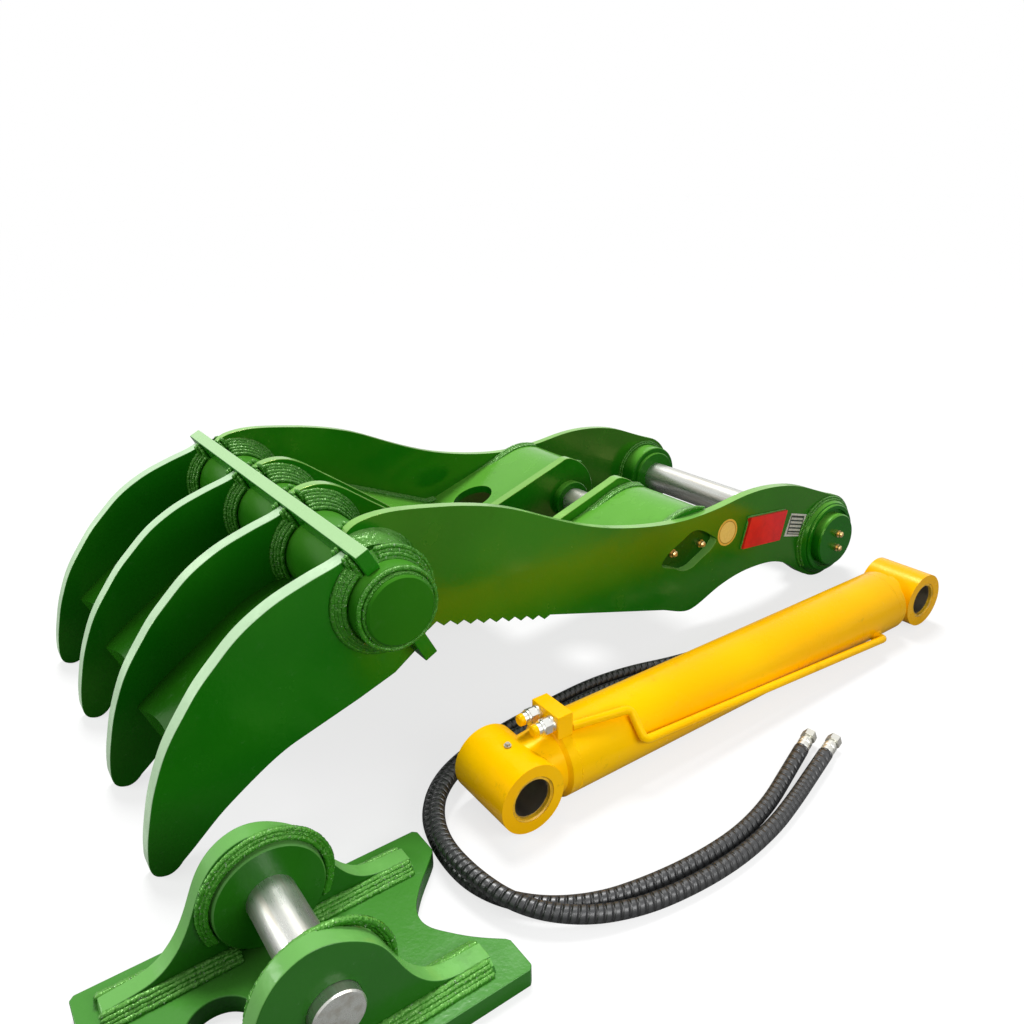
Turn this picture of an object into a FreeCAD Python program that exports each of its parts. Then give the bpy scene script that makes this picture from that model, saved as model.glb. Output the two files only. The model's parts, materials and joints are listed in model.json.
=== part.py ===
import FreeCAD, Part
import math
import os
import re

# Hydraulic thumb kit, laid out on one floor: the thumb weldment, its cylinder, two hoses and the
# weld-on bracket. Millimetres. +X runs from the fingers to the main pin, +Y away from the viewer,
# +Z up. The floor is Z = 0. The layout's own coordinates, in which the numbers below are written,
# have X = 0 at the cross tube's axis and Y = 0 at the thumb's middle plane; the frame's origin is
# the middle of the whole footprint on the floor.

V = FreeCAD.Vector
doc = FreeCAD.newDocument("hydraulic_thumb")
os.makedirs("parts", exist_ok=True)

# Driving dimensions.
DIMENSIONS = {
    # where the frame's origin lies in the layout's own coordinates: middle of the footprint
    "origin_x": 389, "origin_y": -203.5,
    # thumb: fingers and cross bar
    "finger_t": 30, "finger_pitch": 250, "bar_t": 24, "bar_half": 421, "bar_shift": 4,
    "bar_up": 109, "bar_down": 127, "tube_r": 70, "tube_bore": 55, "tube_half": 436, "tube_z": 335,
    "web_width": "=finger_pitch - finger_t", "web_scoop": 20,
    # thumb: plates
    "side_outer": 332, "side_t": 20, "lug_outer": 107, "lug_t": 24, "cover_t": 16,
    "recess_t": 12, "tooth_count": 9, "tooth_depth": 9,
    # thumb: pins and bosses
    "boss_x": 1215, "boss_z": 104, "boss_r": 84, "boss_out": 354, "boss_in": 254, "end_r": 104,
    "main_pin_r": 40, "main_pin_half": 343, "disc_r": 65, "disc_out": 371, "collar_r": 96,
    "lug_pin_x": 748, "lug_pin_z": 190, "lug_pin_r": 32.5, "lug_pin_half": 112,
    "lug_boss_r": 48, "lug_boss_t": 18, "run_gap": 0.05, "weld_gap": 0.3,
    # cylinder
    "cyl_y": -577, "cyl_z": 65, "barrel_r": 65, "barrel_bore": 55, "barrel_start": 194,
    "barrel_end": 1060, "gland_end": 1085, "rod_r": 35, "base_eye_x": 97.6, "base_eye_r": 58,
    "base_eye_len": 132, "rod_eye_x": 1157.6, "rod_eye_r": 58.5, "rod_eye_len": 118,
    "eye_bore": 32.5, "bush_r": 38.5, "rod_start": 300, "piston_len": 60, "stroke": 650,
    "block_x": 170, "block_len": 30, "block_half": 34, "block_top": 162, "union_af": 24,
    "line_r": 7.5,
    # hoses
    "hose_r": 12.5, "hose_floor": "=hose_r", "ferrule_r": 11.5, "ferrule_len": 34, "nut_af": 22, "nut_len": 16,
    # bracket
    "bracket_x": -303, "bracket_y": -704, "base_t": 28, "ear_outer": 116, "ear_t": 26,
    "bracket_pin_z": 104, "bracket_pin_r": 32.5, "bracket_pin_half": 131,
}
sheet = doc.addObject("Spreadsheet::Sheet", "Params")
for row, (alias, value) in enumerate(DIMENSIONS.items(), start=1):
    sheet.set("A%d" % row, alias)
    sheet.set("B%d" % row, str(value))
    sheet.setAlias("B%d" % row, alias)
doc.recompute()


def dim(alias):
    return float(sheet.get(alias))


def bind(obj, prop, formula):
    """Tie a property to the sheet; every word of the formula is an alias."""
    text = re.sub(r"[a-z][a-z_]*", lambda found: "Params." + found.group(0), str(formula))
    obj.setExpression(prop, text)


def place(obj, x=0, y=0, z=0):
    """Put a piece at layout coordinates, counted from the frame's origin."""
    bind(obj, "Placement.Base.x", "(%s) - origin_x" % x)
    bind(obj, "Placement.Base.y", "(%s) - origin_y" % y)
    bind(obj, "Placement.Base.z", z)
    return obj


# Building helpers.
nodes = {}


def node(label, obj):
    obj.Label = label
    nodes[label] = obj
    return obj


def new_body(label):
    body = doc.addObject("PartDesign::Body", label)
    body.Label = label
    return body


def origin_plane(body, role):
    for feature in body.Origin.OriginFeatures:
        if feature.Role == role:
            return feature
    raise ValueError(role)


def curve(points):
    """One run of an outline: two points are a line, more are a smooth curve through them."""
    vectors = [V(p[0], p[1], 0) for p in points]
    if len(vectors) == 2:
        return Part.LineSegment(vectors[0], vectors[1])
    spline = Part.BSplineCurve()
    spline.interpolate(vectors)
    return spline


def ring_curve(points):
    spline = Part.BSplineCurve()
    spline.interpolate(Points=[V(p[0], p[1], 0) for p in points], PeriodicFlag=True)
    return spline


def circle(x, y, r):
    return Part.Circle(V(x, y, 0), V(0, 0, 1), r)


def outline(runs):
    """Join runs end to end and close the last one to the first."""
    shapes = []
    for index, run in enumerate(runs):
        shapes.append(curve(run))
        after = runs[(index + 1) % len(runs)][0]
        if math.dist(run[-1], after) > 1e-6:
            shapes.append(curve([run[-1], after]))
    return shapes


def polygon(points):
    return [curve([points[i], points[(i + 1) % len(points)]]) for i in range(len(points))]


def sketch(body, role, shapes):
    drawn = body.newObject("Sketcher::SketchObject", body.Label + "_sketch")
    drawn.AttachmentSupport = [(origin_plane(body, role), "")]
    drawn.MapMode = "FlatFace"
    for shape in shapes:
        drawn.addGeometry(shape, False)
    return drawn


def pad(body, role, shapes, length, midplane=False, reverse=False):
    feature = body.newObject("PartDesign::Pad", body.Label + "_pad")
    feature.Profile = sketch(body, role, shapes)
    bind(feature, "Length", length)
    feature.Midplane = midplane
    feature.Reversed = reverse
    body.Tip = feature
    doc.recompute()
    return feature


def pocket(body, role, shapes):
    """Cut right through the body both ways and make sure that something was cut."""
    before = body.Shape.Volume
    feature = body.newObject("PartDesign::Pocket", body.Label + "_pocket")
    feature.Profile = sketch(body, role, shapes)
    feature.Type = 1
    feature.Midplane = True
    body.Tip = feature
    doc.recompute()
    assert body.Shape.Volume < before - 1, body.Label
    return feature


def plate(label, shapes, thickness, y, holes=()):
    """A plate cut in the XZ plane; y is its far face and it grows towards -Y."""
    body = new_body(label)
    pad(body, "XZ_Plane", shapes, thickness)
    for hole in holes:
        pocket(body, "XZ_Plane", [hole])
    place(body, 0, y, 0)
    return body


def turned(label, profile, direction=(1, 0, 0), x=0, y=0, z=0):
    """A body of revolution: profile is (distance along the axis, radius), closed."""
    body = new_body(label)
    feature = body.newObject("PartDesign::Revolution", label + "_turn")
    drawn = sketch(body, "XY_Plane", polygon(profile))
    feature.Profile = drawn
    feature.ReferenceAxis = (drawn, ["H_Axis"])
    feature.Angle = 360
    body.Tip = feature
    doc.recompute()
    body.Placement.Rotation = FreeCAD.Rotation(V(1, 0, 0), V(*direction))
    place(body, x, y, z)
    return body


def group(label, members):
    """Identical or paired pieces that share one node as separate solids."""
    compound = doc.addObject("Part::Compound", label)
    compound.Links = members
    return node(label, compound)


def mirrored(obj):
    """The same piece on the other side of the thumb's middle plane."""
    twin = doc.addObject("Part::Mirroring", obj.Label + "_twin")
    twin.Source = obj
    twin.Normal = V(0, 1, 0)
    bind(twin, "Base.y", "-origin_y")
    return twin


def primitive(kind, label, values, rotation=None):
    shape = doc.addObject("Part::" + kind, label)
    for prop, formula in values.items():
        bind(shape, prop, formula)
    if rotation:
        shape.Placement.Rotation = rotation
    return shape


def boolean(kind, label, base, tool):
    result = doc.addObject("Part::" + kind, label)
    result.Base = base
    result.Tool = tool
    return result


SIDES = (("near", -1), ("far", 1))
TO_MINUS_Y = FreeCAD.Rotation(V(0, 0, 1), V(0, -1, 0))

# The slanted cross bar.
SLANT = (-0.447, 0.894)
ACROSS = (0.894, 0.447)


def bar_point(off, along):
    """A point beside the cross bar: off from the tube's axis across it, along it upwards."""
    return (off * ACROSS[0] + along * SLANT[0], dim("tube_z") + off * ACROSS[1] + along * SLANT[1])


bar_left = dim("bar_shift") - dim("bar_t") / 2
bar_right = dim("bar_shift") + dim("bar_t") / 2
tube_hole = circle(0, dim("tube_z"), dim("tube_r") + dim("weld_gap"))

for name, low, high in (("upper", 50, dim("bar_up")), ("lower", -dim("bar_down"), -50)):
    corners = [bar_point(bar_left, low), bar_point(bar_right, low),
               bar_point(bar_right, high), bar_point(bar_left, high)]
    node("cross_plate_" + name, plate("cross_plate_" + name, polygon(corners), "2 * bar_half",
                                      "bar_half", [tube_hole]))

half = dim("tube_half")
tube = turned("cross_tube", [(-half, dim("tube_bore")), (-half, 66), (4 - half, dim("tube_r")),
                             (half - 4, dim("tube_r")), (half, 66), (half, dim("tube_bore"))],
              (0, 1, 0), 0, 0, "tube_z")
node("cross_tube", tube)
cap = turned("tube_cap", [(half - 10, 0), (half - 10, 54.7), (half, 54.7), (half, 58), (half + 9, 58),
                          (half + 12, 55), (half + 12, 0)], (0, -1, 0), 0, 0, "tube_z")
group("tube_caps", [cap, mirrored(cap)])


def split_ring(label, start, length, base_r, top_r, slab_from, slab_width):
    """A weld ring round the tube, parted by the cross bar that runs through it."""
    cone = primitive("Cone", label + "_cone", {"Radius1": base_r, "Radius2": top_r,
                                               "Height": length}, TO_MINUS_Y)
    place(cone, 0, -start, "tube_z")
    core = primitive("Cylinder", label + "_core", {"Radius": "tube_r + weld_gap",
                                                   "Height": length + 2}, TO_MINUS_Y)
    place(core, 0, 1 - start, "tube_z")
    slab = primitive("Box", label + "_slab", {"Length": slab_width, "Width": 900, "Height": 260},
                     FreeCAD.Rotation(V(0, 1, 0), -math.degrees(math.atan2(-SLANT[0], SLANT[1]))))
    corner = bar_point(slab_from, -130)
    place(slab, corner[0], -450, corner[1])
    bored = boolean("Cut", label + "_bored", cone, core)
    return boolean("Cut", label, bored, slab)


finger_face = 1.5 * dim("finger_pitch") + dim("finger_t") / 2
outer_ring = split_ring("finger_weld", finger_face, 14, 88, 71, bar_left - dim("weld_gap"),
                        "bar_t + 2 * weld_gap")
inner_ring = split_ring("plate_weld", dim("side_outer"), finger_face - dim("finger_t")
                        - dim("side_outer"), 98, 80, bar_left - 120, "120 + bar_t + weld_gap")
group("finger_welds", [outer_ring, mirrored(outer_ring)])
group("plate_welds", [inner_ring, mirrored(inner_ring)])

# Fingers and their webs.
finger_top = bar_point(bar_left - dim("weld_gap"), 100)
finger_low = bar_point(bar_left - dim("weld_gap"), -121)
finger_back = [finger_top, (-77, 410), (-102, 403), (-131, 394), (-165, 382), (-200, 365), (-235, 342),
               (-268, 312), (-296, 284), (-322, 251), (-343, 222), (-360, 193), (-373, 164),
               (-385, 132), (-394, 100), (-402, 66), (-406, 38)]
finger_tip = [(-406, 38), (-405, 17), (-400, 7), (-391, 1.5), (-382, 0), (-370, 4), (-360, 13)]
finger_front = [(-360, 13), (-331, 37), (-297, 66), (-264, 89), (-229, 111), (-196, 129), (-162, 142)]
finger_shapes = outline([finger_back, finger_tip, finger_front, [(-162, 142), (-58, 174)],
                         [(-58, 174), (8, 197)], [(8, 197), finger_low]])
for number in range(4):
    middle = "%g * finger_pitch + finger_t / 2" % (1.5 - number)
    label = "finger_%d" % (number + 1)
    node(label, plate(label, finger_shapes, "finger_t", middle, [tube_hole]))

web_face = [(-60, 305), (-110, 291), (-152, 274), (-190, 251), (-228, 225), (-266, 200), (-302, 175),
            (-345, 142)]
web_back = [(-332, 122), (-288, 154), (-252, 179), (-215, 204), (-178, 229), (-143, 251), (-103, 267),
            (-55, 280)]
for number in range(3):
    label = "finger_web_%d" % (number + 1)
    body = plate(label, outline([web_face, web_back]), "web_width",
                 "%g * finger_pitch + web_width / 2" % (1 - number), [tube_hole])
    reach = dim("web_width") / 2
    drop = dim("web_scoop")
    radius = (reach * reach + drop * drop) / (2 * drop)
    pocket(body, "XY_Plane", [circle(-349 + drop - radius, -reach, radius)])
    node(label, body)

# Side plates.
arm_top = bar_point(bar_right + dim("weld_gap"), 100)
arm_low = bar_point(bar_right + dim("weld_gap"), -125)
side_crest = [arm_top, (-13, 443.5), (10, 449), (40, 450.5), (72, 448), (121, 440.5), (168, 432),
              (215, 421), (262, 407), (310, 388), (363, 363), (416, 339), (471, 317), (528, 299),
              (590, 284), (650, 273), (713, 266), (775, 265), (840, 269), (905, 277), (965, 279),
              (1033, 273), (1107, 256), (1175, 230), (1250.3, 199)]
end_middle = (dim("boss_x"), dim("boss_z"))


def end_point(degrees):
    turn = math.radians(degrees)
    return (end_middle[0] + dim("end_r") * math.cos(turn), end_middle[1] + dim("end_r") * math.sin(turn))


side_crest[-1] = end_point(66)
side_belly = [end_point(240), (1128, 34), (1096, 57), (1059, 76), (1022, 86.5), (986, 90.5), (950, 91.5),
              (915, 89.5), (880, 84), (848, 76), (820, 66), (795, 56), (774, 49), (752, 46),
              (730, 50), (705, 59), (675, 71)]
tooth_start = (370, 160)
tooth_end = (122, 228)
teeth = []
count = int(dim("tooth_count"))
for index in range(count):
    for part_way, depth in ((0, 0), (0.5, dim("tooth_depth"))):
        share = (index + part_way) / count
        teeth.append((tooth_start[0] + (tooth_end[0] - tooth_start[0]) * share,
                      tooth_start[1] + (tooth_end[1] - tooth_start[1]) * share - depth))
teeth.append(tooth_end)
window = [(666, 184), (676, 195), (725, 221), (745, 231), (766, 233), (786, 226), (821, 203),
          (829, 194), (824, 185), (781, 160), (757, 149), (730, 148), (696, 164)]


def side_shapes():
    end_arc = Part.Arc(V(*end_point(66), 0), V(*end_point(-30), 0), V(*end_point(240), 0))
    low_runs = [[teeth[i], teeth[i + 1]] for i in range(len(teeth) - 1)]
    drawn = [curve(side_crest), end_arc, curve(side_belly), curve([side_belly[-1], tooth_start])]
    drawn += [curve(run) for run in low_runs]
    drawn += [curve([tooth_end, (104, 217)]), curve([(104, 217), arm_low]), curve([arm_low, arm_top])]
    return drawn


boss_hole = circle(end_middle[0], end_middle[1], dim("boss_r") + dim("weld_gap"))
for name, sign in SIDES:
    far_face = "side_outer" if sign > 0 else "side_t - side_outer"
    node("side_plate_" + name, plate("side_plate_" + name, side_shapes(), "side_t", far_face,
                                     [tube_hole, boss_hole, ring_curve(window)]))

# Inner plates with the cylinder lugs.
FLOOR_SLOPE = -0.415
RAMP_SLOPE = 0.3435


def floor_z(x):
    return 350 + FLOOR_SLOPE * (x - 64)


def ramp_z(x):
    return 182 + RAMP_SLOPE * (x - 476)


gusset_top = bar_point(bar_right + dim("weld_gap"), 99)
gusset = [gusset_top, (-10, 439), (8, 442), (26, 441.5), (47, 436), (72, 423), (110, 395), (150, 366),
          (190, 336), (243, 296), (275, 270), (297, floor_z(297))]
lug_end = [(727, 291.5), (745, 296), (768, 289), (792, 273), (812, 248), (823, 215), (822, 180),
           (808, 148), (785, 126), (755, 113), (722, 107)]
inner_shapes = outline([gusset, [gusset[-1], (455, floor_z(455))], [(455, floor_z(455)), (478, 205)],
                        [(478, 205), lug_end[0]], lug_end, [lug_end[-1], (600, 125)],
                        [(600, 125), (300, 196)], [(300, 196), (92, 238)],
                        [(92, 238), bar_point(bar_right + dim("weld_gap"), -120)]])
pin_hole = circle(dim("lug_pin_x"), dim("lug_pin_z"), dim("lug_pin_r") + dim("run_gap"))
for name, sign in SIDES:
    far_face = "lug_outer" if sign > 0 else "lug_t - lug_outer"
    node("inner_plate_" + name, plate("inner_plate_" + name, inner_shapes, "lug_t", far_face,
                                      [tube_hole, pin_hole]))

# Bent cover plates between them.
cover_top = [[(60, floor_z(60)), (460, floor_z(460))],
             [(460, floor_z(460)), (468, 183.2), (477, 181.8), (488, 186.2)],
             [(488, 186.2), (712, ramp_z(712))],
             [(712, ramp_z(712)), (740, 270.5), (765, 272.5), (790, 269.5), (815, 261)]]
cover_low = [[(810, 246), (788, 254), (765, 256.5), (742, 255), (717, 247.5)],
             [(717, 247.5), (493, 170.5)],
             [(493, 170.5), (483, 167.2), (474, 166.2), (462, 168.3)],
             [(462, 168.3), (55, 337)]]
cover_hole_x = 543
for name, sign in SIDES:
    far_face = "side_outer - side_t" if sign > 0 else "-lug_outer"
    body = plate("cover_" + name, outline(cover_top + cover_low),
                 "side_outer - side_t - lug_outer", far_face, [tube_hole])
    middle = (dim("side_outer") - dim("side_t") - dim("lug_outer")) / 2
    pocket(body, "XY_Plane", [circle(cover_hole_x, -middle, 48)])
    node("cover_" + name, body)
middle_cover = polygon([(60, floor_z(60)), (462, floor_z(462)), (458, 170), (55, 337)])
node("cover_middle", plate("cover_middle", middle_cover, "2 * (lug_outer - lug_t)",
                           "lug_outer - lug_t", [tube_hole]))

# Recess plates and grease nipples.
recess = polygon([(648, 172), (652, 206), (728, 240), (790, 240), (842, 208), (842, 170), (790, 134),
                  (722, 130)])
recess_near = plate("recess_near", recess, "recess_t", "side_t + recess_t - side_outer")
group("recess_plates", [recess_near, mirrored(recess_near)])


def nipple(label, x, start, z, size=1.0):
    """A grease nipple standing out towards -Y: hex foot, neck and ball head."""
    foot = size * 9
    profile = [(0, 0), (0, foot), (0.7 * foot, foot), (0.7 * foot, 0.55 * foot), (1.0 * foot, 0.55 * foot),
               (1.2 * foot, 0.8 * foot), (1.5 * foot, 0.8 * foot), (1.8 * foot, 0.45 * foot),
               (1.8 * foot, 0)]
    return turned(label, profile, (0, -1, 0), x, start, z)


recess_start = "side_t - side_outer"
recess_pair = [nipple("recess_nipple_%d" % n, x, recess_start, 190) for n, x in enumerate((710, 795))]
group("recess_nipples", recess_pair + [mirrored(piece) for piece in recess_pair])

# Cylinder lug bosses and pin.
lug_face = dim("lug_outer") - dim("lug_t")
lug_boss = turned("lug_boss", [(lug_face - dim("lug_boss_t"), dim("lug_pin_r") + dim("run_gap")),
                               (lug_face - dim("lug_boss_t"), dim("lug_boss_r") - 2),
                               (lug_face - dim("lug_boss_t") + 2, dim("lug_boss_r")),
                               (lug_face, dim("lug_boss_r")),
                               (lug_face, dim("lug_pin_r") + dim("run_gap"))],
                  (0, -1, 0), "lug_pin_x", 0, "lug_pin_z")
group("lug_bosses", [lug_boss, mirrored(lug_boss)])


def pin(label, half_length, radius, x, y, z, chamfer=2):
    profile = [(-half_length, 0), (-half_length, radius - chamfer), (chamfer - half_length, radius),
               (half_length - chamfer, radius), (half_length, radius - chamfer), (half_length, 0)]
    return node(label, turned(label, profile, (0, 1, 0), x, y, z))


pin("cylinder_pin", dim("lug_pin_half"), dim("lug_pin_r"), "lug_pin_x", 0, "lug_pin_z")

# Main bosses, collars, discs and pin.
bore = dim("main_pin_r") + dim("run_gap")
big = dim("boss_r")
outer = dim("boss_out")
inner = dim("boss_in")
for name, sign in SIDES:
    profile = [(inner, bore), (inner, 68), (inner + 2, 70), (inner + 9, 70), (inner + 9, big - 2),
               (inner + 11, big), (outer - 2, big), (outer, big - 2), (outer, 74), (outer - 9, 74),
               (outer - 9, bore)]
    node("main_boss_" + name, turned("main_boss_" + name, profile, (0, sign, 0), "boss_x", 0, "boss_z"))
plate_face = dim("side_outer")
collar = turned("boss_collar", [(plate_face, big + 0.3), (plate_face, dim("collar_r")),
                                (plate_face + 4, dim("collar_r") - 1), (plate_face + 10, dim("collar_r") - 5),
                                (plate_face + 15, big + 3), (plate_face + 16, big + 0.3)],
                (0, -1, 0), "boss_x", 0, "boss_z")
group("boss_collars", [collar, mirrored(collar)])
disc_r = dim("disc_r")
disc_out = dim("disc_out")
disc = turned("pin_disc", [(outer - 9, 0), (outer - 9, disc_r), (disc_out - 3, disc_r),
                           (disc_out, disc_r - 3), (disc_out, 0)], (0, -1, 0), "boss_x", 0, "boss_z")
group("pin_discs", [disc, mirrored(disc)])
disc_pair = [nipple("disc_nipple_%d" % n, "boss_x", "-disc_out", "boss_z + %d" % up)
             for n, up in enumerate((18, -18))]
group("disc_nipples", disc_pair + [mirrored(piece) for piece in disc_pair])
pin("main_pin", dim("main_pin_half"), dim("main_pin_r"), "boss_x", 0, "boss_z")

# Bare plates and label on the near side.
name_board = polygon([(931, 223), (1057, 211), (1038, 141), (909, 153)])
node("name_plate_blank", plate("name_plate_blank", name_board, 9, "-side_outer"))
data_board = polygon([(1084, 194), (1141, 178), (1120, 127), (1063, 141)])
node("data_plate_blank", plate("data_plate_blank", data_board, 1.5, "-side_outer"))
node("round_label", plate("round_label", [circle(863, 203, 31)], 0.6, "-side_outer"))

# Cylinder: eyes, bushes and seals.
eye_r = dim("base_eye_r")


def eye(label, x, radius, length, neck):
    """An eye across the cylinder with a round neck along it, bored for its bush."""
    body = turned(label, neck, (1, 0, 0), x, "cyl_y", "cyl_z")
    pad(body, "XZ_Plane", [circle(0, 0, dim(radius))], length, midplane=True)
    pocket(body, "XZ_Plane", [circle(0, 0, dim("bush_r") + 0.3)])
    return node(label, body)


base_reach = dim("barrel_start") - dim("base_eye_x")
eye("base_eye", "base_eye_x", "base_eye_r", "base_eye_len",
    [(0, 0), (0, 50), (56, 55), (base_reach - 22, 57), (base_reach - 17, 65), (base_reach, 65),
     (base_reach, 54.7), (base_reach + 25, 54.7), (base_reach + 25, 0)])
eye("rod_eye", "rod_eye_x", "rod_eye_r", "rod_eye_len",
    [(0, 0), (0, 46), (-56, 46), (-62, 42), (-62, 0)])
for name, x, length in (("base_eye", "base_eye_x", "base_eye_len"), ("rod_eye", "rod_eye_x", "rod_eye_len")):
    reach = dim(length) / 2
    bush = [(-reach + 8, dim("eye_bore")), (-reach + 8, dim("bush_r")), (reach - 8, dim("bush_r")),
            (reach - 8, dim("eye_bore"))]
    node(name + "_bush", turned(name + "_bush", bush, (0, 1, 0), x, "cyl_y", "cyl_z"))
    seals = []
    for sign in (-1, 1):
        lip = dim("eye_bore") + 1
        ring = [(reach - 8, lip), (reach - 8, dim("bush_r")), (reach - 1, dim("bush_r")),
                (reach - 3, lip + 3), (reach - 2, lip)]
        seals.append(turned("%s_seal_%d" % (name, sign + 1), ring, (0, sign, 0), x, "cyl_y", "cyl_z"))
    group(name + "_seals", seals)
node("eye_nipple", turned("eye_nipple", [(0, 0), (0, 6), (2.5, 6), (2.5, 3.5), (6, 3.5), (6, 0)], (0, 0, 1),
                          "base_eye_x", "cyl_y", "cyl_z + base_eye_r + weld_gap"))

# Cylinder: barrel, gland, rod and piston.
start = dim("barrel_start") + 0.3
end = dim("barrel_end")
wall = dim("barrel_r")
hollow = dim("barrel_bore")
node("barrel", turned("barrel", [(start, hollow), (start, wall), (end, wall), (end, hollow)],
                      (1, 0, 0), 0, "cyl_y", "cyl_z"))
close = dim("rod_r") + dim("run_gap")
node("gland", turned("gland", [(end - 40, close), (end - 40, hollow - 0.2), (end + 0.3, hollow - 0.2),
                               (end + 0.3, wall), (dim("gland_end") - 3, wall), (dim("gland_end"), wall - 3),
                               (dim("gland_end"), close)], (1, 0, 0), 0, "cyl_y", "cyl_z"))
rod_from = dim("rod_start")
rod_to = dim("rod_eye_x") - 62
node("rod", turned("rod", [(rod_from, 0), (rod_from, dim("rod_r")), (rod_to, dim("rod_r")), (rod_to, 0)],
                   (1, 0, 0), 0, "cyl_y", "cyl_z"))
node("piston", turned("piston", [(rod_from + 10, dim("rod_r") + 0.3), (rod_from + 10, hollow - 0.05),
                                 (rod_from + 10 + dim("piston_len"), hollow - 0.05),
                                 (rod_from + 10 + dim("piston_len"), dim("rod_r") + 0.3)],
                      (1, 0, 0), 0, "cyl_y", "cyl_z"))

# Cylinder: port block, unions, hard line.
block_z = dim("block_top") - dim("cyl_z")
block_half = dim("block_half")
block = new_body("port_block")
pad(block, "YZ_Plane", polygon([(-block_half, 30), (block_half, 30), (block_half, block_z),
                                (-block_half, block_z)]), "block_len")
pocket(block, "YZ_Plane", [circle(0, 0, dim("barrel_r") + dim("weld_gap"))])
pocket(block, "YZ_Plane", polygon([(-15, 50), (15, 50), (15, 70), (-15, 70)]))
place(block, "block_x", "cyl_y", "cyl_z")
node("port_block", block)

unions = []
plugs = []
for number, side in enumerate((-18, 18)):
    union = turned("union_%d" % number, [(0, 0), (0, 13), (4, 13), (4, 10.5), (20, 10.5), (20, 12), (23, 12),
                                         (23, 9.5), (30, 9.5), (30, 0)], (-1, 0, 0), "block_x",
                   "cyl_y + %d" % side, 145)
    nut = primitive("Prism", "union_nut_%d" % number, {"Polygon": 6, "Circumradius": "union_af / 1.732",
                                                       "Height": 12},
                    FreeCAD.Rotation(V(0, 0, 1), V(-1, 0, 0)))
    place(nut, "block_x - 7", "cyl_y + %d" % side, 145)
    unions.append(boolean("Fuse", "union_body_%d" % number, union, nut))
    plugs.append(turned("plug_%d" % number, [(30.3, 0), (30.3, 10), (37, 9.5), (39, 7), (39, 0)],
                        (-1, 0, 0), "block_x", "cyl_y + %d" % side, 145))
group("unions", unions)
group("union_plugs", plugs)


def tube_along(points, radius, bend=None):
    """A round tube of straight runs joined by tangent arcs; bend fixes the arc radius."""
    route = [V(p[0] - dim("origin_x"), p[1] - dim("origin_y"), p[2]) for p in points]
    edges = []
    at = route[0]
    radii = []
    for before, corner, after in zip(route, route[1:], route[2:]):
        inward = (corner - before).normalize()
        outward = (after - corner).normalize()
        half_turn = inward.getAngle(outward) / 2
        shorter = min((corner - before).Length, (after - corner).Length)
        reach = 0.45 * shorter
        if bend:
            reach = min(reach, bend * math.tan(half_turn))
        arc_from = corner - inward * reach
        arc_to = corner + outward * reach
        arc_radius = reach / math.tan(half_turn)
        radii.append(arc_radius)
        toward = (outward - inward).normalize()
        centre = corner + toward * (arc_radius / math.cos(half_turn))
        middle = centre - toward * arc_radius
        edges.append(Part.LineSegment(at, arc_from).toShape())
        edges.append(Part.Arc(arc_from, middle, arc_to).toShape())
        at = arc_to
    edges.append(Part.LineSegment(at, route[-1]).toShape())
    path = Part.Wire(edges)
    section = Part.Wire(Part.Circle(route[0], route[1] - route[0], radius).toShape())
    solid = path.makePipeShell([section], True, False)
    expected = math.pi * radius * radius * path.Length
    assert abs(solid.Volume - expected) < 0.01 * expected, (solid.Volume, expected)
    return solid, radii, path.Length


line_y = dim("cyl_y")
line_route = [(dim("block_x") + dim("block_len") + 1.6, line_y - 28, 132), (311, line_y - 45, 128),
              (314, line_y - 78, 84), (988, line_y - 78, 38), (988, line_y - 64, 38)]
line_solid, line_radii, line_length = tube_along(line_route, dim("line_r"), 12)
hard_line = doc.addObject("Part::Feature", "hard_line")
hard_line.Shape = line_solid
node("hard_line", hard_line)
print("hard line radii", [round(r, 1) for r in line_radii], "length", round(line_length))
line_boss = primitive("Cylinder", "line_boss_stub", {"Radius": 13, "Height": 12}, TO_MINUS_Y)
place(line_boss, 988, "cyl_y - 52", 38)
barrel_core = primitive("Cylinder", "line_boss_core", {"Radius": "barrel_r + weld_gap", "Height": 60},
                        FreeCAD.Rotation(V(0, 0, 1), V(1, 0, 0)))
place(barrel_core, 958, "cyl_y", "cyl_z")
node("line_boss", boolean("Cut", "line_boss", line_boss, barrel_core))

# Hoses on the floor.
low = dim("hose_floor")
OUTER_ROUTE = [(792, -458, 18), (706, -450, 18), (618, -432, low), (520, -402, low), (425, -390, low),
               (330, -395, low), (235, -405, low), (130, -420, low), (42, -454, low), (-22, -520, low),
               (-45, -608, low), (-40, -696, low), (6, -766, low), (78, -812, low), (160, -832, low),
               (248, -842, low), (338, -841, low), (424, -823, low), (500, -797, 18), (573, -770, 18)]
INNER_ROUTE = [(676, -479, 18), (596, -464, 18), (514, -434, low), (424, -420, low), (332, -424, low),
               (240, -434, low), (148, -448, 22), (62, -472, 35), (-10, -528, 39.5), (-46, -606, 39.5),
               (-46, -690, 39.5), (-22, -770, 33), (40, -825, 22), (120, -855, 14), (208, -869, low),
               (298, -872, low), (388, -861, low), (460, -843, 15), (528, -823, 18), (595, -802, 18)]


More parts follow.
